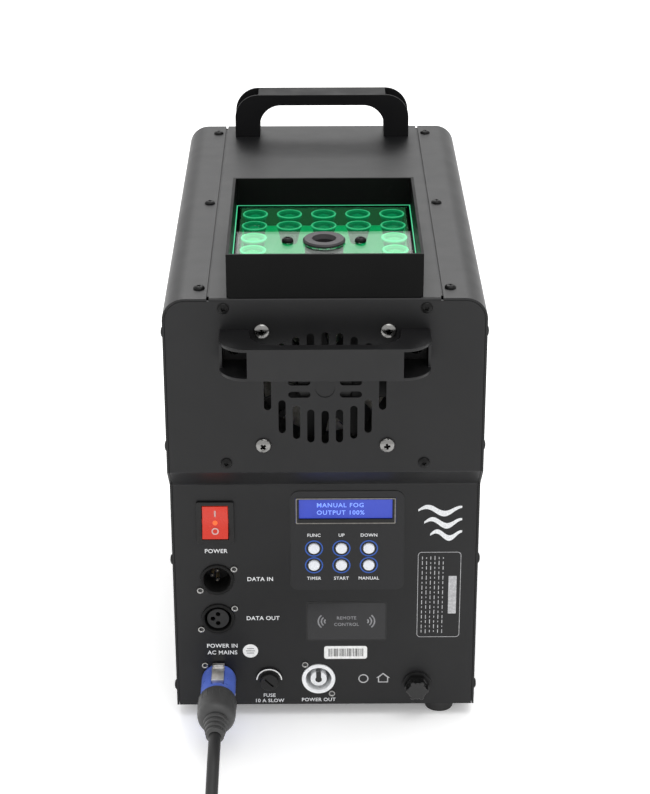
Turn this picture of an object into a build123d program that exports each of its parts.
from build123d import *
import os
from math import cos, pi, radians, sin, tan

# Upright fog machine with a lit jet window on its top face.
# Frame: origin on the table under the middle of the machine, +Z up, the control panel faces -Y.
os.makedirs("parts", exist_ok=True)

# ---------------------------------------------------------------- driving dimensions (mm)
case_width = 212.0
case_depth = 376.0
foot_height = 10.0
top_z = 330.0
sheet = 1.5
corner_radius = 15.0
cover_lap = 29.2            # width of each side cover's flange on the top
seam_gap = 1.6
chin_top = 205.0            # the front face steps back below this height
chin_bottom = 186.0
chin_step = 20.0
handle_reach = 34.0
screw_proud = 2.0

# places on the Y axis, so that the whole machine is centred on the origin
y_face = handle_reach - (case_depth + handle_reach + screw_proud) / 2
y_low = y_face + chin_step
y_back = y_face + case_depth
half = case_width / 2
inner_half = half - sheet - 0.3
top_half = half - cover_lap - seam_gap
rail_z = top_z - 2 * sheet

# jet window
hood_width = 127.4
hood_front = y_face + 1.0
hood_back = y_face + 156.0
hood_height = 30.0
hood_wall = 2.0
pane_top = top_z + 10.0
pane_thick = 3.0
lamp_pitch = 24.0
lamp_rows = 6
lamp_columns = 5
lamp_mid_y = y_face + 80.0
nozzle_y = y_face + 79.5
nozzle_screw_x = 24.7
board_z = pane_top - 17.5
board_thick = 1.6

# fan and handles
fan_z = 266.3
fan_side = 92.0
fan_depth = 25.0
fan_pitch = 82.5
handle_width = 137.0
handle_section = 22.0
handle_screw_x = 59.0
front_handle_z = 297.4
rear_handle_y = y_back - 17.5

# control panel features, as (x, z) on the lower front face
rocker_at = (-75.6, 157.4)
data_in_at = (-75.3, 112.1)
data_out_at = (-75.3, 80.8)
inlet_at = (-75.8, 31.0)
outlet_at = (-4.9, 31.2)
fuse_at = (-40.0, 30.6)
drain_at = (65.0, 26.5)
panel_mid = (15.2, 142.5)
display_at = (14.1, 165.6)
button_x = 11.2
button_z = 129.9
button_pitch_x = 19.0
button_pitch_z = 13.2
data_screw = (11.9, 8.4)    # from a data socket's centre to its two screws
power_screw = (-9.5, 12.0)

# heater, pump and tank
heater_size = (84.0, 160.0, 57.0)
heater_mid = (0.0, y_face + 130.0, 233.5)
jacket_wall = 12.0
bench_top = 192.0
pump_axis = (84.0, 36.0)
pump_front = y_face + 90.0
pump_length = 70.0
tank_mid_y = y_back - 76.0
tank_size = (136.0, 132.0, 186.5)
tank_base = foot_height + sheet + 2.0
tank_wall = 2.5

# mains lead
lead_diameter = 8.5
plug_reach = 74.0           # from the panel to the boot's tip


# ---------------------------------------------------------------- helpers
def facing_front(x, z, y=y_low):
    """A plane on a front face: local x is +X, local y is +Z, and its normal points out."""
    return Plane(origin=(x, y, z), x_dir=(1, 0, 0), z_dir=(0, -1, 0))


def facing_back(x, z, y=y_back):
    return Plane(origin=(x, y, z), x_dir=(-1, 0, 0), z_dir=(0, 1, 0))


def facing_side(side, y, z, x=half):
    return Plane(origin=(side * x, y, z), x_dir=(0, side, 0), z_dir=(side, 0, 0))


def facing_up(x, y, z=top_z):
    return Plane(origin=(x, y, z), x_dir=(1, 0, 0), z_dir=(0, 0, 1))


def facing_down(x, y, z=foot_height):
    return Plane(origin=(x, y, z), x_dir=(1, 0, 0), z_dir=(0, 0, -1))


def save(builder, name):
    """Label a finished piece and write it out."""
    builder.part.label = name
    export_step(builder.part, f"parts/{name}.step")


def make_screw(head_d, head_h, shank_d, shank_l):
    """A pan-head cross-recessed screw, head on +Z, with its seat at z = 0."""
    with BuildPart() as screw:
        with BuildSketch(Plane.XZ):
            with BuildLine():
                Polyline((0, head_h), (0, -shank_l), (shank_d / 2, -shank_l), (shank_d / 2, 0),
                         (head_d / 2, 0), (head_d / 2, head_h * 0.35))
                ThreePointArc((head_d / 2, head_h * 0.35), (head_d * 0.36, head_h * 0.82), (0, head_h))
            make_face()
        revolve(axis=Axis.Z)
        with BuildSketch(Plane.XY.offset(head_h * 0.45)):
            Rectangle(head_d * 0.56, head_d * 0.12)
            Rectangle(head_d * 0.12, head_d * 0.56)
        extrude(amount=head_h, mode=Mode.SUBTRACT)
    return screw.part


def make_disc_set(planes, radius, depth, both=False):
    """Round cutters, one on each plane, running into the material."""
    with BuildPart() as cutters:
        for plane in planes:
            with BuildSketch(plane):
                Circle(radius)
            extrude(amount=-depth, both=both)
    return cutters.part


case_screw = make_screw(7.6, screw_proud, 3.8, 7.0)
fan_screw = make_screw(10.7, 3.0, 4.2, 9.0)
socket_screw = make_screw(5.0, 1.6, 2.8, 6.0)
handle_screw = make_screw(10.0, 4.0, 4.8, 9.0)

# ---------------------------------------------------------------- screw places
cover_screw_rows = [y_face + 18.5 + 169.0 * i for i in range(3)]
cover_top_planes = [facing_up(s * 82.2, y) for s in (-1, 1) for y in cover_screw_rows]
panel_flange_heights = (301.0, 218.0, 123.0)
base_screw_z = 21.0
side_screw_places = [(y_face + 15.0, 301.0), (y_face + 15.0, 218.0), (y_low + 10.0, 123.0),
                     (y_low + 10.0, base_screw_z)]
side_screw_places += [(y_back - 12.0, z) for z in panel_flange_heights]
side_screw_places += [(y_back - 12.0, base_screw_z)]
cover_side_planes = [facing_side(s, y, z) for s in (-1, 1) for y, z in side_screw_places]
brace_places = [(x, z) for x in (-66.0, 66.0) for z in (212.0, 323.3)]
brace_planes = [facing_front(x, z, y_face) for x, z in brace_places]
rear_screw_planes = [facing_back(x, 18.0) for x in (-88.0, 88.0)]
fan_corners = [(x, fan_z + z) for x in (-fan_pitch / 2, fan_pitch / 2) for z in (-fan_pitch / 2, fan_pitch / 2)]
fan_planes = [facing_front(x, z, y_face) for x, z in fan_corners]
front_handle_planes = [facing_front(x, front_handle_z, y_face) for x in (-handle_screw_x, handle_screw_x)]
rear_handle_planes = [facing_up(x, rear_handle_y) for x in (-handle_screw_x, handle_screw_x)]
data_screw_places = [(c[0] + s * data_screw[0], c[1] + s * data_screw[1])
                     for c in (data_in_at, data_out_at) for s in (-1, 1)]
power_screw_places = [(c[0] + s * power_screw[0], c[1] + s * power_screw[1])
                      for c in (inlet_at, outlet_at) for s in (-1, 1)]
socket_screw_planes = [facing_front(x, z) for x, z in data_screw_places + power_screw_places]
foot_places = [(x, y) for x in (-82.0, 82.0) for y in (y_low + 15.0, y_back - 35.0)]


def front_outline(plane, half_width, low, high, radius, depth):
    """A slab with rounded top corners, drawn on a front plane."""
    with BuildPart() as slab:
        with BuildSketch(plane):
            with BuildLine():
                Polyline((-half_width, high - radius), (-half_width, low), (half_width, low),
                         (half_width, high - radius))
                RadiusArc((half_width, high - radius), (half_width - radius, high), -radius)
                Line((half_width - radius, high), (radius - half_width, high))
                RadiusArc((radius - half_width, high), (-half_width, high - radius), -radius)
            make_face()
        extrude(amount=-depth)
    return slab.part


# ---------------------------------------------------------------- folded front and top sheet
with BuildPart() as front_top_panel:
    fold = 2.5
    with BuildSketch(Plane.YZ):
        with BuildLine():
            FilletPolyline((y_low, foot_height), (y_low, chin_bottom), (y_face, chin_top), (y_face, top_z),
                           (y_back, top_z), radius=fold)
            offset(amount=-sheet, side=Side.RIGHT)
        make_face()
    extrude(amount=inner_half, both=True)
    # side returns that the covers are screwed to
    for s in (-1, 1):
        with BuildSketch(Plane.YZ.offset(s * inner_half)):
            with BuildLine():
                Polyline((y_face + 0.5, chin_top + 4), (y_face + 24, chin_top + 4), (y_face + 24, 312),
                         (y_face + 0.5, 312), close=True)
            make_face()
            with BuildLine():
                Polyline((y_low + 0.5, 30), (y_low + 20, 30), (y_low + 20, chin_bottom - 8),
                         (y_low + 0.5, chin_bottom - 8), close=True)
            make_face()
        extrude(amount=-s * sheet)
    # keep the front inside the rounded covers, and the top inside the two seams
    keep_front = front_outline(Plane(origin=(0, y_face - 1, 0), x_dir=(1, 0, 0), z_dir=(0, -1, 0)),
                               inner_half, foot_height, top_z - sheet - 0.3,
                               corner_radius - sheet - 0.3, case_depth)
    with BuildPart(mode=Mode.PRIVATE) as keep_top:
        with BuildSketch(Plane.XY.offset(top_z - 20)):
            Rectangle(2 * top_half, case_depth * 3)
        extrude(amount=30)
    add(keep_front + keep_top.part, mode=Mode.INTERSECT)
    # stepped rails under the covers' top flanges
    for s in (-1, 1):
        with BuildSketch(Plane.XY.offset(rail_z)):
            with Locations((s * (top_half + 6.9), (y_face + y_back) / 2 + 2)):
                Rectangle(17.0, case_depth - 12)
        extrude(amount=sheet)
    # air slots in front of the fan
    slot_width = 4.8
    slot_length = 24.0
    slot_pitch = 9.5
    with BuildSketch(facing_front(0, fan_z, y_face)):
        for i in range(-3, 4):
            tip = 40.1 - (i * slot_pitch) ** 2 / 104.0
            with Locations((i * slot_pitch, tip - slot_length / 2), (i * slot_pitch, slot_length / 2 - tip)):
                SlotOverall(slot_length, slot_width, rotation=90)
        with Locations((-4 * slot_pitch, 0), (4 * slot_pitch, 0)):
            SlotOverall(31.0, slot_width, rotation=90)
        with Locations(*[(x, z) for x in (-17.0, 17.0) for z in (-4.4, 4.4)]):
            SlotOverall(14.6, 4.4)
    extrude(amount=-5, mode=Mode.SUBTRACT)
    # round dimple over the fan's hub
    with BuildSketch(facing_front(0, fan_z, y_face)):
        Circle(6.5)
    extrude(amount=-0.6, mode=Mode.SUBTRACT)
    # opening under the jet window
    with BuildSketch(facing_up(0, (hood_front + hood_back) / 2)):
        Rectangle(hood_width - 8, hood_back - hood_front - 8)
    extrude(amount=-5, mode=Mode.SUBTRACT)
    # cut-outs for the connectors and the controls
    with BuildSketch(facing_front(0, 0)):
        with Locations(rocker_at):
            Rectangle(22.4, 28.4)
        with Locations(data_in_at, data_out_at):
            Circle(11.9)
        with Locations(inlet_at, outlet_at):
            Circle(12.1)
        with Locations(fuse_at):
            Circle(7.9)
        with Locations(drain_at):
            Circle(6.2)
        with Locations(display_at):
            Rectangle(69.6, 20.6)
        with Locations((button_x, button_z)):
            with GridLocations(button_pitch_x, button_pitch_z, 3, 2):
                Circle(4.4)
        with Locations(*(data_screw_places + power_screw_places)):
            Circle(1.5)
    extrude(amount=-5, mode=Mode.SUBTRACT)
    add(make_disc_set(brace_planes, 2.0, 5) + make_disc_set(fan_planes, 2.3, 5)
        + make_disc_set(front_handle_planes + rear_handle_planes, 2.5, 5)
        + make_disc_set(cover_top_planes, 2.0, 5)
        + make_disc_set(cover_side_planes, 2.0, 5), mode=Mode.SUBTRACT)
save(front_top_panel, "front_top_panel")

# ---------------------------------------------------------------- side covers
with BuildPart() as side_covers:
    for s in (-1, 1):
        with BuildSketch(Plane.XZ.offset(-y_back)):
            with BuildLine():
                Polyline((s * half, foot_height), (s * half, top_z - corner_radius))
                RadiusArc((s * half, top_z - corner_radius), (s * (half - corner_radius), top_z),
                          -s * corner_radius)
                Polyline((s * (half - corner_radius), top_z), (s * (half - cover_lap), top_z),
                         (s * (half - cover_lap), top_z - sheet), (s * (half - corner_radius), top_z - sheet))
                RadiusArc((s * (half - corner_radius), top_z - sheet), (s * (half - sheet), top_z - corner_radius),
                          s * (corner_radius - sheet))
                Polyline((s * (half - sheet), top_z - corner_radius), (s * (half - sheet), foot_height),
                         (s * half, foot_height))
            make_face()
        extrude(amount=case_depth)
    # the front edges follow the step in the front face
    with BuildSketch(Plane.YZ):
        with BuildLine():
            Polyline((y_face - 1, 0), (y_low, 0), (y_low, chin_bottom), (y_face, chin_top),
                     (y_face - 1, chin_top), close=True)
        make_face()
    extrude(amount=case_width, both=True, mode=Mode.SUBTRACT)
    add(make_disc_set(cover_top_planes, 2.0, 5) + make_disc_set(cover_side_planes, 2.0, 5), mode=Mode.SUBTRACT)
save(side_covers, "side_covers")

# ---------------------------------------------------------------- rear panel with the tank bay
bay_width = 148.0
bay_low = 16.0
bay_high = 270.0
with BuildPart() as rear_panel:
    add(front_outline(Plane(origin=(0, y_back, 0), x_dir=(1, 0, 0), z_dir=(0, -1, 0)),
                      inner_half, foot_height, top_z - sheet - 0.3, corner_radius - sheet - 0.3, -sheet))
    for s in (-1, 1):
        with BuildSketch(Plane.XY.offset(30)):
            with Locations((s * (inner_half - sheet / 2), y_back - 10.5)):
                Rectangle(sheet, 20)
        extrude(amount=282)
    with BuildSketch(facing_back(0, (bay_low + bay_high) / 2)):
        RectangleRounded(bay_width, bay_high - bay_low, 8)
    extrude(amount=-5, mode=Mode.SUBTRACT)
    with BuildSketch(facing_back(0, 298)):
        with GridLocations(11, 1, 13, 1):
            SlotOverall(30, 5, rotation=90)
    extrude(amount=-5, mode=Mode.SUBTRACT)
    add(make_disc_set(rear_screw_planes, 2.0, 5) + make_disc_set(cover_side_planes, 2.0, 5),
        mode=Mode.SUBTRACT)
save(rear_panel, "rear_panel")

# ---------------------------------------------------------------- base tray
with BuildPart() as base_tray:
    tray_front = y_low + sheet
    tray_back = y_back - sheet
    with BuildSketch(facing_up(0, (tray_front + tray_back) / 2, foot_height)):
        Rectangle(2 * inner_half, tray_back - tray_front)
    extrude(amount=18)
    with BuildSketch(facing_up(0, (tray_front + tray_back) / 2, foot_height + sheet)):
        Rectangle(2 * (inner_half - sheet), tray_back - tray_front - 2 * sheet)
    extrude(amount=20, mode=Mode.SUBTRACT)
    # no front wall, so that the connectors pass over the tray
    with BuildSketch(facing_up(0, tray_front, foot_height + sheet)):
        Rectangle(2 * (inner_half - sheet), 8)
    extrude(amount=20, mode=Mode.SUBTRACT)
    with BuildSketch(facing_up(0, -40, foot_height)):
        with GridLocations(12, 46, 7, 2):
            SlotOverall(34, 4.6, rotation=90)
    extrude(amount=4, mode=Mode.SUBTRACT)
    add(make_disc_set([facing_up(x, y, foot_height + 3) for x, y in foot_places], 2.0, 6)
        + make_disc_set(rear_screw_planes, 2.0, 8)
        + make_disc_set(cover_side_planes, 2.0, 5), mode=Mode.SUBTRACT)
save(base_tray, "base_tray")

with BuildPart() as feet:
    for x, y in foot_places:
        with BuildSketch(facing_down(x, y)):
            Circle(11.0)
        with BuildSketch(facing_down(x, y, 0)):
            Circle(10.0)
        loft()
    with Locations(*[facing_down(x, y, 0) for x, y in foot_places]):
        CounterBoreHole(2.1, 5.0, 5.5)
save(feet, "feet")

with BuildPart() as case_screws:
    foot_seats = [facing_down(x, y, 5.5) for x, y in foot_places]
    with Locations(*(cover_top_planes + cover_side_planes + brace_planes + rear_screw_planes + foot_seats)):
        add(case_screw)
save(case_screws, "case_screws")

# ---------------------------------------------------------------- hood round the jet window
hood_mid = (hood_front + hood_back) / 2
hood_depth = hood_back - hood_front
ledge_width = 3.0
with BuildPart() as hood_frame:
    with BuildSketch(facing_up(0, hood_mid)):
        Rectangle(hood_width, hood_depth)
        Rectangle(hood_width - 2 * hood_wall, hood_depth - 2 * hood_wall, mode=Mode.SUBTRACT)
    extrude(amount=hood_height)
    ledge_top = pane_top - pane_thick
    with BuildSketch(facing_up(0, hood_mid, ledge_top - 3)):
        Rectangle(hood_width - 2, hood_depth - 2)
        Rectangle(hood_width - 2 * (hood_wall + ledge_width), hood_depth - 2 * (hood_wall + ledge_width),
                  mode=Mode.SUBTRACT)
    extrude(amount=3)
    # lower front corners are trimmed back over the fold in the sheet
    with BuildSketch(facing_front(0, top_z, hood_front)):
        for s in (-1, 1):
            with BuildLine():
                Polyline((s * hood_width / 2, -1), (s * hood_width / 2, 9), (s * (hood_width / 2 - 1.4), 0),
                         (s * (hood_width / 2 - 1.4), -1), close=True)
            make_face()
    extrude(amount=-1.6, mode=Mode.SUBTRACT)
save(hood_frame, "hood_frame")

with BuildPart() as window_pane:
    with BuildSketch(facing_up(0, hood_mid, ledge_top)):
        Rectangle(hood_width - 2 * hood_wall - 0.4, hood_depth - 2 * hood_wall - 0.4)
        with Locations((0, nozzle_y - hood_mid)):
            Circle(13.5, mode=Mode.SUBTRACT)
            with GridLocations(2 * nozzle_screw_x, 1, 2, 1):
                Circle(2.2, mode=Mode.SUBTRACT)
    extrude(amount=pane_thick)
save(window_pane, "window_pane")

dish_half = hood_width / 2 - 5
dish_depth = hood_depth - 10
strap_low = 207.0
with BuildPart() as lamp_tray:
    with BuildSketch(facing_up(0, y_face + 81.25, rail_z)):
        Rectangle(2 * top_half - 6.4, 157.5)
    extrude(amount=sheet)
    with BuildSketch(facing_up(0, hood_mid, board_z - sheet)):
        Rectangle(2 * dish_half, dish_depth)
    extrude(amount=rail_z + 2 * sheet - board_z)
    with BuildSketch(facing_up(0, hood_mid, board_z)):
        Rectangle(2 * (dish_half - sheet), dish_depth - 2 * sheet)
    extrude(amount=20, mode=Mode.SUBTRACT)
    # two straps reach down behind the front sheet to its four screws
    for s in (-1, 1):
        with BuildSketch(facing_front(s * 67.25, (strap_low + rail_z + 0.5) / 2, y_face + 2 * sheet)):
            Rectangle(9.5, rail_z + 0.5 - strap_low)
        extrude(amount=sheet)
    with BuildSketch(facing_up(0, nozzle_y, board_z)):
        Circle(14.5)
        with GridLocations(2 * nozzle_screw_x, 1, 2, 1):
            Circle(2.1)
    extrude(amount=-5, mode=Mode.SUBTRACT)
    add(make_disc_set(brace_planes, 2.0, 9), mode=Mode.SUBTRACT)
save(lamp_tray, "lamp_tray")

# the lamps leave a clear middle for the nozzle
lamp_places = [((i - 2) * lamp_pitch, lamp_mid_y + (j - 2.5) * lamp_pitch)
               for j in range(lamp_rows) for i in range(lamp_columns)
               if not (j in (2, 3) and i in (1, 2, 3))]
chip_height = 1.1
lamp_face = board_z + board_thick
with BuildPart() as lamp_board:
    with BuildSketch(facing_up(0, hood_mid, board_z)):
        Rectangle(2 * (dish_half - sheet) - 0.4, dish_depth - 2 * sheet - 0.4)
        with Locations((0, nozzle_y - hood_mid)):
            Circle(14.5, mode=Mode.SUBTRACT)
            with GridLocations(2 * nozzle_screw_x, 1, 2, 1):
                Circle(2.4, mode=Mode.SUBTRACT)
    extrude(amount=board_thick)
    with BuildSketch(facing_up(0, 0, lamp_face)):
        with Locations(*lamp_places):
            Rectangle(5, 5)
    extrude(amount=chip_height)
save(lamp_board, "lamp_board")

lens_height = pane_top - pane_thick - 0.4 - lamp_face
with BuildPart() as one_lens:
    with BuildSketch(Plane.XZ):
        with BuildLine():
            Polyline((4.0, 0), (5.6, 0), (9.0, lens_height - 1.2), (9.0, lens_height), (6.4, lens_height),
                     (5.4, lens_height - 2.2), (0, lens_height - 2.2), (0, 3.4), (3.0, 3.0), close=True)
        make_face()
    revolve(axis=Axis.Z)
with BuildPart() as lamp_lenses:
    with Locations(*[facing_up(x, y, lamp_face) for x, y in lamp_places]):
        add(one_lens.part)
save(lamp_lenses, "lamp_lenses")

with BuildPart() as nozzle_ring:
    with BuildSketch(Plane.XZ.offset(-nozzle_y)):
        with BuildLine():
            Polyline((6.5, board_z - 4), (13.1, board_z - 4), (13.1, pane_top), (14.4, pane_top),
                     (14.4, pane_top + 1.4), (13.4, pane_top + 2.4), (8.2, pane_top + 2.4),
                     (6.5, pane_top - 0.5), close=True)
        make_face()
    revolve(axis=Axis(origin=(0, nozzle_y, 0), direction=(0, 0, 1)))
save(nozzle_ring, "nozzle_ring")

nozzle_screw = make_screw(8.0, 3.0, 3.9, 20.0)
with BuildPart() as nozzle_screws:
    with Locations(*[facing_up(s * nozzle_screw_x, nozzle_y, pane_top) for s in (-1, 1)]):
        add(nozzle_screw)
save(nozzle_screws, "nozzle_screws")

# ---------------------------------------------------------------- heater
heater_top = heater_mid[2] + heater_size[2] / 2
heater_back = heater_mid[1] + heater_size[1] / 2
with BuildPart() as heater_block:
    with Locations(heater_mid):
        Box(*heater_size)
    fillet(heater_block.edges().filter_by(Axis.Y), 12)
    # two terminal posts on the rear end
    with BuildSketch(facing_back(0, heater_mid[2], heater_back)):
        with GridLocations(52, 1, 2, 1):
            Circle(3.0)
    extrude(amount=24)
    with BuildSketch(facing_back(0, heater_mid[2], heater_back)):
        with GridLocations(52, 1, 2, 1):
            RegularPolygon(5.5, 6)
    extrude(amount=5)
    # inlet port on the right side, and the jet port under the nozzle
    inlet_y = heater_mid[1] - heater_size[1] / 2 + 17
    with BuildSketch(facing_side(1, inlet_y, heater_mid[2], heater_size[0] / 2)):
        Circle(3.1)
    extrude(amount=-12, mode=Mode.SUBTRACT)
    with BuildSketch(facing_up(0, nozzle_y, heater_top)):
        Circle(6.05)
    extrude(amount=-15, mode=Mode.SUBTRACT)
save(heater_block, "heater_block")

with BuildPart() as fog_pipe:
    with BuildSketch(facing_up(0, nozzle_y, heater_top - 14)):
        Circle(6.0)
        Circle(4.2, mode=Mode.SUBTRACT)
    extrude(amount=pane_top - 4 - heater_top + 14)
save(fog_pipe, "fog_pipe")

with BuildPart() as heater_jacket:
    with Locations(heater_mid):
        Box(*[a + 2 + 2 * jacket_wall for a in heater_size])
    fillet(heater_jacket.edges().filter_by(Axis.Y), 10)
    with Locations(heater_mid):
        Box(*[a + 2 for a in heater_size], mode=Mode.SUBTRACT)
    with BuildSketch(facing_up(0, nozzle_y, heater_top + jacket_wall + 2)):
        Circle(6.8)
    extrude(amount=-20, mode=Mode.SUBTRACT)
    with BuildSketch(facing_side(1, inlet_y, heater_mid[2], heater_size[0] / 2 + jacket_wall + 2)):
        Circle(4.0)
    extrude(amount=-20, mode=Mode.SUBTRACT)
    with BuildSketch(facing_back(0, heater_mid[2], heater_back + jacket_wall + 2)):
        with GridLocations(52, 1, 2, 1):
            Circle(7.0)
        Circle(9.5)
    extrude(amount=-20, mode=Mode.SUBTRACT)
save(heater_jacket, "heater_jacket")

with BuildPart() as thermostat:
    with BuildSketch(facing_back(0, heater_mid[2], heater_back)):
        Circle(8.0)
    extrude(amount=9)
    with BuildSketch(facing_back(0, heater_mid[2], heater_back + 9)):
        with GridLocations(8, 1, 2, 1):
            Rectangle(0.8, 5)
    extrude(amount=9)
save(thermostat, "thermostat")

bench_half = 60.0
bench_front = y_face + 44
bench_back = heater_back + jacket_wall + 3
with BuildPart() as heater_bench:
    with BuildSketch(Plane.XZ.offset(-bench_back)):
        with BuildLine():
            floor_z = foot_height + sheet
            Polyline((-bench_half - 10, floor_z), (sheet - bench_half, floor_z),
                     (sheet - bench_half, bench_top - sheet), (bench_half - sheet, bench_top - sheet),
                     (bench_half - sheet, floor_z), (bench_half + 10, floor_z),
                     (bench_half + 10, floor_z + sheet), (bench_half, floor_z + sheet), (bench_half, bench_top),
                     (-bench_half, bench_top), (-bench_half, floor_z + sheet),
                     (-bench_half - 10, floor_z + sheet), close=True)
        make_face()
    extrude(amount=bench_back - bench_front)
    with BuildSketch(Plane.YZ):
        with Locations(((bench_front + bench_back) / 2, 105)):
            RectangleRounded(120, 120, 10)
    extrude(amount=bench_half + 1, both=True, mode=Mode.SUBTRACT)
    with BuildSketch(facing_up(0, (bench_front + bench_back) / 2, bench_top)):
        with GridLocations(26, 60, 3, 2):
            SlotOverall(40, 8, rotation=90)
    extrude(amount=-5, mode=Mode.SUBTRACT)
save(heater_bench, "heater_bench")

# ---------------------------------------------------------------- pump
pump_back = pump_front + pump_length
with BuildPart() as pump_body:
    with BuildSketch(facing_front(pump_axis[0], pump_axis[1], pump_front)):
        Circle(15.5)
    extrude(amount=-pump_length)
    with BuildSketch(facing_front(pump_axis[0], pump_axis[1], pump_front - 12)):
        Circle(4.5)
    extrude(amount=-pump_length - 24)
    # mounting saddle on the base tray
    with BuildSketch(facing_front(pump_axis[0], foot_height + sheet + 6.5, pump_front + 10)):
        Rectangle(26, 13)
    extrude(amount=-50)
    # bore for the piston, with a small port at each end
    with BuildSketch(facing_front(pump_axis[0], pump_axis[1], pump_front + 8)):
        Circle(7.0)
    extrude(amount=8 + 8 - pump_length, mode=Mode.SUBTRACT)
    with BuildSketch(facing_front(pump_axis[0], pump_axis[1], pump_front - 13)):
        Circle(1.8)
    extrude(amount=-pump_length - 26, mode=Mode.SUBTRACT)
    with BuildSketch(facing_front(pump_axis[0], pump_axis[1], pump_front + 18)):
        Circle(15.6)
        Circle(13.4, mode=Mode.SUBTRACT)
    extrude(amount=-6, mode=Mode.SUBTRACT)
save(pump_body, "pump_body")

with BuildPart() as pump_piston:
    with BuildSketch(facing_front(pump_axis[0], pump_axis[1], pump_front + 12)):
        Circle(6.95)
        Circle(1.5, mode=Mode.SUBTRACT)
    extrude(amount=-pump_length + 24)
save(pump_piston, "pump_piston")


def make_hose(name, points, radius, outer, inner):
    """A hose along straight runs joined by arcs."""
    with BuildPart() as hose:
        with BuildLine() as route:
            FilletPolyline(*points, radius=radius)
        start = Vector(*points[0])
        heading = Vector(*points[1]) - start
        with BuildSketch(Plane(origin=start, z_dir=heading)):
            Circle(outer)
            Circle(inner, mode=Mode.SUBTRACT)
        sweep(path=route.line)
    save(hose, name)
    return hose


hose_x = pump_axis[0]
hose_low = pump_axis[1]
cap_y = tank_mid_y
make_hose("suction_hose",
          [(0, cap_y, 24), (0, cap_y, 262), (hose_x, cap_y, 262), (hose_x, bench_back + 14, 262),
           (hose_x, bench_back + 14, hose_low), (hose_x, pump_back + 12, hose_low)],
          14, 3.0, 2.0)
make_hose("pressure_hose",
          [(hose_x, pump_front - 12, hose_low), (hose_x, inlet_y, hose_low), (hose_x, inlet_y, heater_mid[2]),
           (heater_size[0] / 2 - 10, inlet_y, heater_mid[2])],
          9, 3.0, 2.0)

# ---------------------------------------------------------------- fluid tank
tank_top = tank_base + tank_size[2]
neck_radius = 17.0
neck_height = 14.0
with BuildPart() as fluid_tank:
    with BuildSketch(facing_up(0, tank_mid_y, tank_base)):
        RectangleRounded(tank_size[0], tank_size[1], 14)
    extrude(amount=tank_size[2])
    fillet(fluid_tank.faces().sort_by(Axis.Z)[-1].edges(), 5)
    with BuildSketch(facing_up(0, cap_y, tank_top)):
        Circle(neck_radius)
    extrude(amount=neck_height)
    with BuildSketch(facing_up(0, tank_mid_y, tank_base + tank_wall)):
        RectangleRounded(tank_size[0] - 2 * tank_wall, tank_size[1] - 2 * tank_wall, 11.5)
    extrude(amount=tank_size[2] - 2 * tank_wall, mode=Mode.SUBTRACT)
    with BuildSketch(facing_up(0, cap_y, tank_top + neck_height)):
        Circle(neck_radius - 3)
    extrude(amount=-neck_height - 5, mode=Mode.SUBTRACT)
save(fluid_tank, "fluid_tank")

with BuildPart() as tank_cap:
    with BuildSketch(facing_up(0, cap_y, tank_top + 1)):
        Circle(neck_radius + 4)
    extrude(amount=neck_height + 3)
    fillet(tank_cap.faces().sort_by(Axis.Z)[-1].edges(), 1.5)
    with BuildSketch(facing_up(0, cap_y, tank_top + 1)):
        Circle(neck_radius + 0.08)
    extrude(amount=neck_height - 0.6, mode=Mode.SUBTRACT)
    with BuildSketch(facing_up(0, cap_y, tank_top)):
        Circle(3.6)
    extrude(amount=neck_height + 6, mode=Mode.SUBTRACT)
    with BuildSketch(facing_up(0, cap_y, tank_top + 1)):
        with PolarLocations(neck_radius + 4.3, 24):
            Circle(0.9)
    extrude(amount=neck_height - 1, mode=Mode.SUBTRACT)
save(tank_cap, "tank_cap")

# ---------------------------------------------------------------- fan
fan_front = y_face + sheet
with BuildPart() as fan_frame:
    with BuildSketch(facing_front(0, fan_z, fan_front)):
        RectangleRounded(fan_side, fan_side, 5)
        Circle(43.5, mode=Mode.SUBTRACT)
    extrude(amount=-fan_depth)
    with BuildSketch(facing_front(0, fan_z, fan_front + fan_depth - 4)):
        Circle(18)
        for k in range(4):
            with Locations(Location((0, 0), 45 + 90 * k)):
                with Locations((31, 0)):
                    Rectangle(28, 4)
    extrude(amount=-4)
    with BuildSketch(facing_front(0, fan_z, fan_front + 4)):
        Circle(2.0)
    extrude(amount=4 - fan_depth)
    add(make_disc_set(fan_planes, 2.3, fan_depth + 5), mode=Mode.SUBTRACT)
save(fan_frame, "fan_frame")

hub_radius = 18.5
blade_count = 7
with BuildPart() as fan_rotor:
    with BuildSketch(facing_front(0, fan_z, fan_front + 2)):
        Circle(hub_radius)
    extrude(amount=-18)
    fillet(fan_rotor.faces().sort_by(Axis.Y)[0].edges(), 1.5)
    for k in range(blade_count):
        turn = 2 * pi * k / blade_count
        out = (cos(turn), 0, sin(turn))
        across = (-sin(turn), 0, cos(turn))
        pitch = radians(38)
        chord = tuple(cos(pitch) * across[i] + (sin(pitch) if i == 1 else 0) for i in range(3))
        blade_plane = Plane(origin=(out[0] * (hub_radius - 1), fan_front + 11, fan_z + out[2] * (hub_radius - 1)),
                            x_dir=chord, z_dir=out)
        with BuildSketch(blade_plane):
            Rectangle(22, 1.8)
        extrude(amount=42.0 - hub_radius)
    # trim the blade tips to the bore and leave the shaft hole
    with BuildSketch(facing_front(0, fan_z, fan_front + 1)):
        Circle(60)
        Circle(42.2, mode=Mode.SUBTRACT)
    extrude(amount=-24, mode=Mode.SUBTRACT)
    with BuildSketch(facing_front(0, fan_z, fan_front + 3.6)):
        Circle(2.05)
    extrude(amount=-24, mode=Mode.SUBTRACT)
save(fan_rotor, "fan_rotor")

with BuildPart() as fan_screws:
    with Locations(*fan_planes):
        add(fan_screw)
save(fan_screws, "fan_screws")


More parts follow.
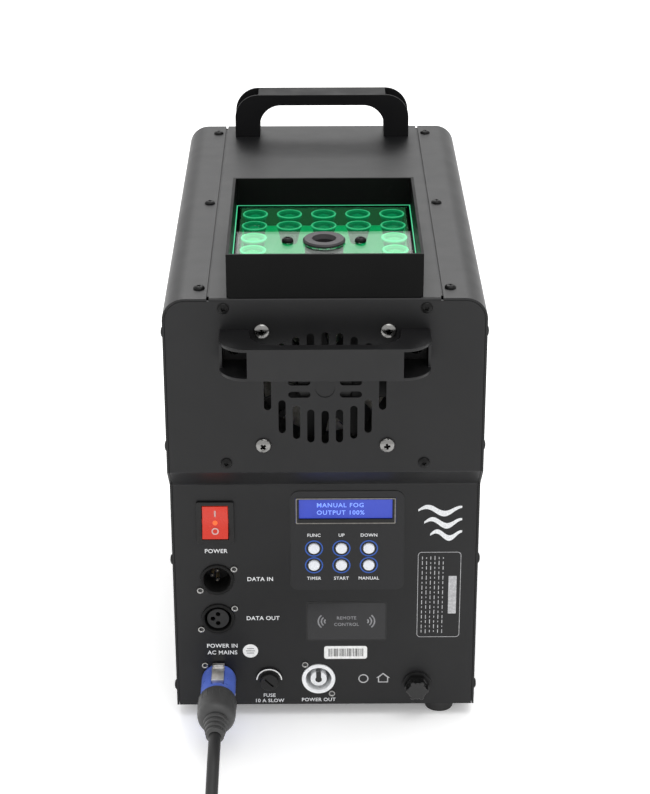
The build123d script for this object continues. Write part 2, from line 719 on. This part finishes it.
# ---------------------------------------------------------------- handles
def make_handle(plane, name):
    """A hollow pull handle; plane lies on the wall, local x along the grip, normal outwards."""
    outer_r = 18.4
    inner_r = 16.4
    leg = 19.5
    grip = 8.5
    wall = 2.0
    length = handle_width / 2
    side_plane = Plane(origin=plane.origin, x_dir=plane.x_dir, z_dir=plane.y_dir * -1)
    outer_plane = side_plane.offset(-handle_section / 2)
    inner_plane = side_plane.offset(wall - handle_section / 2)
    hollow = handle_section - 2 * wall

    def bow(sketch_plane, inset):
        """The side view of the bow, drawn in from its edges by the given amount."""
        with BuildSketch(sketch_plane) as shape:
            RectangleRounded(2 * (length - inset), 2 * (handle_reach - inset), outer_r - inset)
            with Locations((0, inset - 50)):
                Rectangle(200, 100, mode=Mode.SUBTRACT)
            RectangleRounded(2 * (length - leg + inset), 2 * (handle_reach - grip + inset), inner_r + inset,
                             mode=Mode.SUBTRACT)
        return shape.sketch

    outline = bow(outer_plane, 0)
    cavity = bow(inner_plane, wall)
    with BuildPart() as handle:
        extrude(outline, amount=handle_section)
        extrude(cavity, amount=hollow, mode=Mode.SUBTRACT)
        # open windows at both bends, where the screws are reached
        with BuildSketch(inner_plane):
            for s in (-1, 1):
                with Locations((s * (length - outer_r / 2 + 1), handle_reach - outer_r / 2 + 1)):
                    Rectangle(outer_r + 2, outer_r + 2)
        extrude(amount=hollow, mode=Mode.SUBTRACT)
        # screw holes in the two feet
        with BuildSketch(plane):
            with GridLocations(2 * handle_screw_x, 1, 2, 1):
                Circle(2.6)
        extrude(amount=wall + 1, mode=Mode.SUBTRACT)
    save(handle, name)


make_handle(facing_front(0, front_handle_z, y_face), "front_handle")
make_handle(facing_up(0, rear_handle_y), "rear_handle")

with BuildPart() as handle_screws:
    handle_seats = [facing_front(s * handle_screw_x, front_handle_z, y_face - 2) for s in (-1, 1)]
    handle_seats += [facing_up(s * handle_screw_x, rear_handle_y, top_z + 2) for s in (-1, 1)]
    with Locations(*handle_seats):
        add(handle_screw)
save(handle_screws, "handle_screws")

# ---------------------------------------------------------------- control panel
overlay_thick = 0.6
with BuildPart() as control_overlay:
    with BuildSketch(facing_front(*panel_mid)):
        RectangleRounded(78, 76.6, 6)
    with BuildSketch(facing_front(*display_at), mode=Mode.SUBTRACT):
        RectangleRounded(69.2, 20.2, 1)
    extrude(amount=overlay_thick)
    with BuildSketch(facing_front(*display_at)):
        Rectangle(69.2, 20.2)
    extrude(amount=2, mode=Mode.SUBTRACT)
    with BuildSketch(facing_front(button_x, button_z)):
        with GridLocations(button_pitch_x, button_pitch_z, 3, 2):
            Circle(4.4)
    extrude(amount=2, mode=Mode.SUBTRACT)
save(control_overlay, "control_overlay")

with BuildPart() as display_frame:
    with BuildSketch(facing_front(*display_at, y=y_low + 2)):
        Rectangle(69.0, 20.0)
        with Locations((0, 1.2)):
            Rectangle(64.2, 15.0, mode=Mode.SUBTRACT)
    extrude(amount=2 + overlay_thick + 0.3)
save(display_frame, "display_frame")

with BuildPart() as display_module:
    with BuildSketch(facing_front(display_at[0], display_at[1] + 1.2, y_low + 9)):
        Rectangle(64.0, 14.8)
    extrude(amount=8.6)
    with BuildSketch(facing_front(*display_at, y=y_low + 9)):
        Rectangle(74, 28)
    extrude(amount=1.6)
save(display_module, "display_module")

button_names = [f"{row}_button_{column}" for row in ("upper", "lower") for column in ("left", "middle", "right")]
button_places = [(button_x + (i - 1) * button_pitch_x, button_z + (0.5 - j) * button_pitch_z)
                 for j in range(2) for i in range(3)]
for name, (x, z) in zip(button_names, button_places):
    with BuildPart() as button:
        with BuildSketch(facing_front(x, z, y_low - overlay_thick - 1.4)):
            Circle(4.0)
        extrude(amount=-8.0)
        fillet(button.faces().sort_by(Axis.Y)[0].edges(), 0.6)
        with BuildSketch(facing_front(x, z, y_low + sheet + 0.2)):
            Circle(5.2)
        extrude(amount=-1.2)
    save(button, name)

switch_face = y_low - overlay_thick - 1.4 + 8.0 + 1.0
board_face = switch_face + 4.0
with BuildPart() as circuit_boards:
    # the control board stands behind the buttons
    with BuildSketch(facing_front(15, 137, board_face)):
        Rectangle(86, 86)
    extrude(amount=-1.6)
    with BuildSketch(facing_front(button_x, button_z, board_face)):
        with GridLocations(button_pitch_x, button_pitch_z, 3, 2):
            Rectangle(6, 6)
    extrude(amount=4.0)
    with BuildSketch(facing_front(15, 104, board_face + 1.6)):
        Rectangle(30, 12)
        with Locations((-28, 22)):
            Rectangle(12, 12)
        with Locations((26, 24)):
            Circle(5)
    extrude(amount=-9)
    # the power board lies on spacers on the base tray
    with BuildSketch(facing_up(0, -30, foot_height + sheet + 6)):
        Rectangle(100, 120)
    extrude(amount=1.6)
    with BuildSketch(facing_up(0, -30, foot_height + sheet)):
        with GridLocations(90, 110, 2, 2):
            Circle(3)
    extrude(amount=6)
    with BuildSketch(facing_up(0, -30, foot_height + sheet + 7.6)):
        with Locations((-24, 30)):
            RectangleRounded(42, 36, 3)
    extrude(amount=32)
    with BuildSketch(facing_up(0, -30, foot_height + sheet + 7.6)):
        with Locations((24, 34), (24, 8), (24, -18)):
            Rectangle(29, 13)
        with Locations((-34, -8), (-18, -8), (-34, -30)):
            Circle(6)
    extrude(amount=16)
    with BuildSketch(facing_up(0, -30, foot_height + sheet + 7.6)):
        with Locations((10, -48)):
            Rectangle(60, 10)
    extrude(amount=11)
save(circuit_boards, "circuit_boards")

# ---------------------------------------------------------------- power rocker switch
pivot_y = y_low + 1.0
key_half = 11.6
with BuildPart() as rocker_housing:
    with BuildSketch(facing_front(*rocker_at)):
        RectangleRounded(25.6, 31.6, 1.2)
    extrude(amount=2.0)
    with BuildSketch(facing_front(*rocker_at)):
        Rectangle(22, 28)
    extrude(amount=-22)
    with BuildSketch(facing_front(rocker_at[0], rocker_at[1], y_low - 3)):
        Rectangle(18.4, 26.2)
    extrude(amount=-16, mode=Mode.SUBTRACT)
    with BuildSketch(facing_side(1, pivot_y, rocker_at[1], rocker_at[0] - 10.2)):
        Circle(1.55)
    extrude(amount=20.4, mode=Mode.SUBTRACT)
    with BuildSketch(facing_front(rocker_at[0], rocker_at[1], y_low + 22)):
        with GridLocations(12, 16, 2, 2):
            Rectangle(0.8, 6.3)
    extrude(amount=-8)
save(rocker_housing, "rocker_housing")

rocker_lean = 11.0
with BuildPart() as rocker_key:
    lean = radians(rocker_lean)
    with BuildSketch(Plane(origin=(rocker_at[0], pivot_y, rocker_at[1]), x_dir=(0, -cos(lean), sin(lean)),
                           z_dir=(-1, 0, 0))):
        with BuildLine():
            Polyline((-3.5, -7.5), (0.5, -key_half), (4.8, -key_half))
            ThreePointArc((4.8, -key_half), (3.2, 0), (4.8, key_half))
            Polyline((4.8, key_half), (0.5, key_half), (-3.5, 7.5), (-3.5, -7.5))
        make_face()
    extrude(amount=8.8, both=True)
    with BuildSketch(facing_side(1, pivot_y, rocker_at[1], rocker_at[0])):
        Circle(1.5)
    extrude(amount=10.0, both=True)
save(rocker_key, "rocker_key")


# ---------------------------------------------------------------- data sockets
def socket_body(at, outer, bore, depth, flange):
    """A round socket shell on a flange behind the panel, open towards the front."""
    with BuildPart() as body:
        with BuildSketch(facing_front(*at, y=y_low + sheet)):
            Rectangle(*flange)
        extrude(amount=-2.5)
        with BuildSketch(facing_front(*at, y=y_low - 0.8)):
            Circle(outer)
        extrude(amount=-0.8 - depth)
        with BuildSketch(facing_front(*at, y=y_low - 2)):
            Circle(bore)
        extrude(amount=-depth - 0.5, mode=Mode.SUBTRACT)
    return body.part


data_flange = (31.0, 26.0)
power_flange = (26.0, 31.0)
data_depth = 20
power_depth = 22
data_floor = -data_depth + 1.5
power_floor = -power_depth + 1.5
contact_offsets = [(3.6 * cos(radians(a)), 3.6 * sin(radians(a))) for a in (90, 180, 270)]
with BuildPart() as data_in_socket:
    add(socket_body(data_in_at, 11.7, 9.5, data_depth, data_flange))
    with BuildSketch(facing_front(*data_in_at, y=y_low + 22)):
        with Locations(*contact_offsets):
            Circle(1.2)
    extrude(amount=16)
    add(make_disc_set([facing_front(x, z) for x, z in data_screw_places], 1.5, 8), mode=Mode.SUBTRACT)
save(data_in_socket, "data_in_socket")

with BuildPart() as data_out_socket:
    add(socket_body(data_out_at, 11.7, 9.5, data_depth, data_flange))
    add(make_disc_set([facing_front(x, z) for x, z in data_screw_places], 1.5, 8), mode=Mode.SUBTRACT)
save(data_out_socket, "data_out_socket")

# the contact carrier is a moulding of its own, glued to the shell's floor
with BuildPart() as data_out_insert:
    with BuildSketch(facing_front(*data_out_at, y=y_low - 0.2)):
        Circle(7.6)
    extrude(amount=data_floor - 0.2)
    with BuildSketch(facing_front(*data_out_at, y=y_low - 1)):
        with Locations(*contact_offsets):
            Circle(1.7)
    extrude(amount=-14, mode=Mode.SUBTRACT)
save(data_out_insert, "data_out_insert")

# ---------------------------------------------------------------- mains sockets
with BuildPart() as mains_inlet:
    add(socket_body(inlet_at, 12.0, 10.6, power_depth, power_flange))
    add(make_disc_set([facing_front(x, z) for x, z in power_screw_places], 1.5, 8), mode=Mode.SUBTRACT)
save(mains_inlet, "mains_inlet")

with BuildPart() as mains_outlet:
    add(socket_body(outlet_at, 11.8, 9.2, power_depth, power_flange))
    add(make_disc_set([facing_front(x, z) for x, z in power_screw_places], 1.5, 8), mode=Mode.SUBTRACT)
save(mains_outlet, "mains_outlet")

with BuildPart() as outlet_core:
    with BuildSketch(facing_front(*outlet_at, y=y_low - 0.3)):
        Circle(5.7)
        with Locations((0, 3.6)):
            Rectangle(3.6, 5.6, mode=Mode.SUBTRACT)
    extrude(amount=power_floor - 0.3)
save(outlet_core, "outlet_core")

with BuildPart() as socket_screws:
    with Locations(*socket_screw_planes):
        add(socket_screw)
save(socket_screws, "socket_screws")

# ---------------------------------------------------------------- fuse
fuse_cap_r = 6.5
fuse_r = 2.6
with BuildPart() as fuse_holder:
    with BuildSketch(facing_front(*fuse_at)):
        Circle(8.7)
    extrude(amount=1.8)
    with BuildSketch(facing_front(*fuse_at)):
        Circle(7.7)
    extrude(amount=-32)
    with BuildSketch(facing_front(*fuse_at, y=y_low - 3)):
        Circle(fuse_cap_r + 0.08)
    extrude(amount=-31, mode=Mode.SUBTRACT)
    with BuildSketch(facing_front(*fuse_at, y=y_low + 32)):
        Rectangle(5, 0.8)
    extrude(amount=-7)
save(fuse_holder, "fuse_holder")

with BuildPart() as fuse_cap:
    with BuildSketch(facing_front(*fuse_at, y=y_low - 5)):
        Circle(fuse_cap_r)
    extrude(amount=-9)
    fillet(fuse_cap.faces().sort_by(Axis.Y)[0].edges(), 0.8)
    with BuildSketch(facing_front(*fuse_at, y=y_low - 5)):
        Rectangle(8.5, 1.4, rotation=-45)
    extrude(amount=-1.4, mode=Mode.SUBTRACT)
    with BuildSketch(facing_front(*fuse_at, y=y_low + 5)):
        Circle(fuse_r + 0.05)
    extrude(amount=6, mode=Mode.SUBTRACT)
save(fuse_cap, "fuse_cap")

with BuildPart() as fuse_link:
    with BuildSketch(facing_front(*fuse_at, y=y_low - 0.6)):
        Circle(2.4)
    extrude(amount=-20)
    for y in (y_low - 0.6, y_low + 14.4):
        with BuildSketch(facing_front(*fuse_at, y=y)):
            Circle(fuse_r)
        extrude(amount=-5)
save(fuse_link, "fuse_link")

# ---------------------------------------------------------------- drain
with BuildPart() as drain_spigot:
    with BuildSketch(facing_front(*drain_at)):
        Circle(10.2)
    extrude(amount=1.6)
    with BuildSketch(facing_front(*drain_at)):
        Circle(6.0)
    extrude(amount=-14)
    with BuildSketch(facing_front(*drain_at, y=y_low - 1.6)):
        Circle(4.5)
    extrude(amount=5)
    with BuildSketch(facing_front(*drain_at, y=y_low - 8)):
        Circle(2.4)
    extrude(amount=-24, mode=Mode.SUBTRACT)
save(drain_spigot, "drain_spigot")

with BuildPart() as drain_cap:
    with BuildSketch(facing_front(*drain_at, y=y_low - 1.9)):
        RegularPolygon(9.2, 6)
    extrude(amount=4.2)
    fillet(drain_cap.edges().filter_by(Axis.Y), 2.0)
    with BuildSketch(facing_front(*drain_at, y=y_low - 6.1)):
        Circle(6.6)
        with PolarLocations(6.4, 6):
            Circle(1.7)
    extrude(amount=4.4)
    fillet(drain_cap.faces().sort_by(Axis.Y)[0].edges(), 0.8)
    with BuildSketch(facing_front(*drain_at, y=y_low)):
        Circle(4.55)
    extrude(amount=7.0, mode=Mode.SUBTRACT)
save(drain_cap, "drain_cap")

# ---------------------------------------------------------------- locking mains plug and its lead
plug_x, plug_z = inlet_at
plug_axis = Axis(origin=(plug_x, 0, plug_z), direction=(0, -1, 0))
collar_start = 28.0
with BuildPart() as plug_body:
    with BuildSketch(facing_front(plug_x, plug_z, y_low - 1.2)):
        Circle(12.2)
    extrude(amount=collar_start - 1.2)
    with BuildSketch(facing_front(plug_x, plug_z, y_low + 16)):
        Circle(10.3)
    extrude(amount=17.2)
    # track for the thumb latch on the top
    with BuildSketch(facing_front(plug_x, plug_z + 12.2, y_low - 1)):
        Rectangle(9.2, 6)
    extrude(amount=23.5, mode=Mode.SUBTRACT)
save(plug_body, "plug_body")

with BuildPart() as plug_latch:
    latch_low = plug_z + 9.4
    with BuildSketch(Plane.YZ.offset(plug_x)):
        with BuildLine():
            y0 = y_low - 1.6
            Polyline((y0, latch_low), (y0, latch_low + 5.0), (y0 - 11, latch_low + 5.8),
                     (y0 - 13.5, latch_low + 4.4), (y0 - 19.4, latch_low + 3.2), (y0 - 19.4, latch_low),
                     close=True)
        make_face()
    extrude(amount=4.2, both=True)
    with BuildSketch(facing_up(plug_x, y_low - 8, latch_low + 6)):
        with GridLocations(1, 2.0, 1, 3):
            Rectangle(7.0, 0.8)
    extrude(amount=-1.0, mode=Mode.SUBTRACT)
save(plug_latch, "plug_latch")

with BuildPart() as plug_nut:
    with BuildSketch(Plane(origin=(plug_x, 0, plug_z), x_dir=(1, 0, 0), z_dir=(0, 0, 1))):
        with BuildLine():
            y0 = y_low - collar_start
            tip = y_low - plug_reach
            bore = lead_diameter / 2
            Polyline((0, y0), (12.6, y0), (13.2, y0 - 3))
            ThreePointArc((13.2, y0 - 3), (13.4, y0 - 10), (10.6, y0 - 22))
            Polyline((10.6, y0 - 22), (8.6, y0 - 22.5), (5.6, tip), (bore, tip), (bore, tip + 12),
                     (0, tip + 12), (0, y0))
        make_face()
    revolve(axis=plug_axis)
    # ribs of the bend relief
    for k in range(4):
        with BuildSketch(facing_front(plug_x, plug_z, y0 - 26 - 5 * k)):
            Circle(14)
            Circle(7.2 - 0.65 * k, mode=Mode.SUBTRACT)
        extrude(amount=1.8, mode=Mode.SUBTRACT)
save(plug_nut, "plug_nut")

# the lead: straight out of the boot, down to the table, then into a put-away coil of two layers
lead_r = lead_diameter / 2
lead_z = lead_r + 0.2
lead_start = y_low - plug_reach + 12
coil_mean_r = 46.5
coil_gap = lead_diameter + 0.4
coil_centre = (plug_x - 0.1 + coil_mean_r + coil_gap, -370.0)
coil_outer = coil_mean_r + coil_gap
lead_points = [(plug_x, lead_start, plug_z), (plug_x, -240, plug_z), (plug_x - 0.5, -264, 20),
               (plug_x - 1.0, -290, 7), (plug_x - 0.4, -322, lead_z + 0.2), (plug_x - 0.1, -352, lead_z),
               (coil_centre[0] - coil_outer, coil_centre[1], lead_z)]
coil_top_z = lead_z + coil_gap
tail_points = [(coil_centre[0], coil_centre[1] - coil_outer, coil_top_z),
               (coil_centre[0] + 26, coil_centre[1] - coil_outer - 1.6, coil_top_z - 1.8),
               (coil_centre[0] + 50, coil_centre[1] - coil_outer + 1.9, lead_z + 2),
               (coil_centre[0] + 72, coil_centre[1] - coil_outer + 16, lead_z + 0.3)]


def corner_radii(points):
    """The largest arc that both runs at each corner leave room for."""
    radii = []
    for before, here, after in zip(points, points[1:], points[2:]):
        run_in = Vector(*here) - Vector(*before)
        run_out = Vector(*after) - Vector(*here)
        half_turn = radians(run_in.get_angle(run_out)) / 2
        radii.append(0.45 * min(run_in.length, run_out.length) / tan(half_turn))
    return radii


with BuildPart() as mains_coil:
    with BuildSketch(facing_up(*coil_centre, 0.15)):
        Circle(coil_outer + lead_r + 0.3)
        Circle(coil_mean_r - coil_gap - lead_r - 0.3, mode=Mode.SUBTRACT)
    extrude(amount=coil_top_z + lead_r + 0.2)
    fillet(mains_coil.edges().filter_by(GeomType.CIRCLE), 3)
save(mains_coil, "mains_coil")

# wall plug lying beside the coil, tipped so that its boot rests on the table
wall_plug_turn = 50.0
wall_plug_tilt = 20.3
pin_spacing = 19.0
heading = Vector(cos(radians(wall_plug_turn)) * cos(radians(wall_plug_tilt)),
                 sin(radians(wall_plug_turn)) * cos(radians(wall_plug_tilt)), sin(radians(wall_plug_tilt)))
level = (sin(radians(wall_plug_turn)), -cos(radians(wall_plug_turn)), 0)
boot_end = Vector(*tail_points[-1])
with BuildPart() as wall_plug:
    for reach, radius in ((0, 5.2), (20, 7.5)):
        with BuildSketch(Plane(origin=boot_end + heading * reach, x_dir=level, z_dir=heading)):
            Circle(radius)
    loft()
    for reach, radius in ((20, 11.0), (37, 18.3)):
        with BuildSketch(Plane(origin=boot_end + heading * reach, x_dir=level, z_dir=heading)):
            Circle(radius)
    loft()
    with BuildSketch(Plane(origin=boot_end + heading * 37, x_dir=level, z_dir=heading)):
        Circle(18.3)
    extrude(amount=23)
    with BuildSketch(Plane(origin=boot_end + heading * 60, x_dir=level, z_dir=heading)):
        with GridLocations(pin_spacing, 1, 2, 1):
            Circle(2.4)
    extrude(amount=19)
save(wall_plug, "wall_plug")

with BuildPart() as mains_lead:
    for name, points in (("lead", lead_points), ("tail", tail_points)):
        radii = corner_radii(points)
        print(name, "radii", [round(r, 1) for r in radii])
        with BuildLine() as route:
            path = FilletPolyline(*points, radius=radii)
        with BuildSketch(Plane(origin=points[0], z_dir=Vector(*points[1]) - Vector(*points[0]))):
            Circle(lead_r)
        before = mains_lead.part.volume if mains_lead.part else 0
        sweep(path=route.line)
        print(name, "length", round(path.length, 1), "volume ratio",
              round((mains_lead.part.volume - before) / (pi * lead_r ** 2 * path.length), 4))
    add(mains_coil.part + wall_plug.part, mode=Mode.SUBTRACT)
save(mains_lead, "mains_lead")
